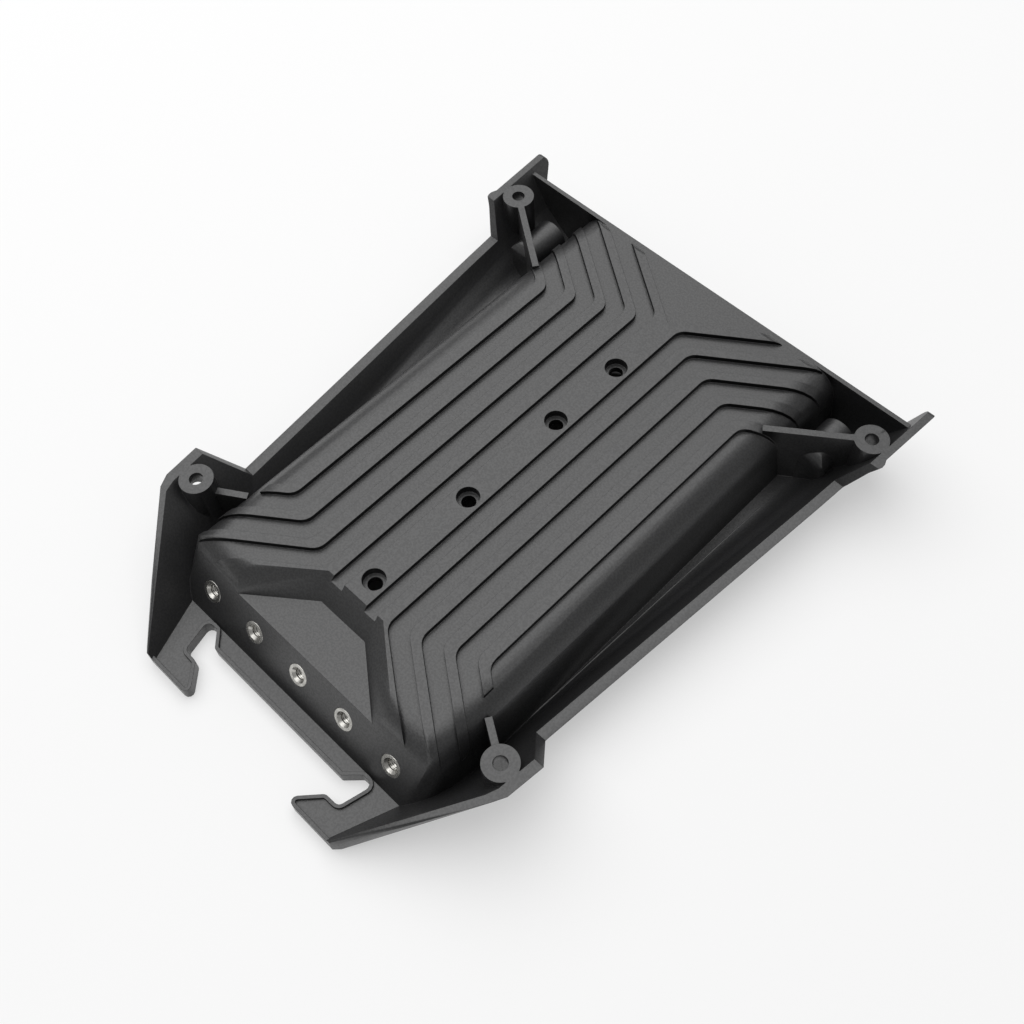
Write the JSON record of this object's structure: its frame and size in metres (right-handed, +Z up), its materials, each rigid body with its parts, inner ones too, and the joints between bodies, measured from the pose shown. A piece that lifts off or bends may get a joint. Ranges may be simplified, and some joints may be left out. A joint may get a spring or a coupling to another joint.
{
  "type": "moulded housing",
  "caption": "Shallow moulded plastic tray with flared side walls, a ribbed raised panel, corner screw bosses, front hooks and threaded metal inserts in a leaning front face.",
  "frame": {"origin": "middle of the footprint, at the level of the flat underside", "axes": "+Y from the hooks to the rear wall, +Z up out of the tray, +X to the right seen from the hooks"},
  "size_m": [0.1184, 0.1522, 0.0192],
  "materials": {
    "black_plastic": "black moulded plastic with a fine even grain and a satin sheen",
    "insert_metal": "bright turned metal with a cut thread"
  },
  "bodies": {
    "root": {"housing": "black_plastic", "insert_1": "insert_metal", "insert_2": "insert_metal", "insert_3": "insert_metal", "insert_4": "insert_metal", "insert_5": "insert_metal"}
  },
  "joints": []
}
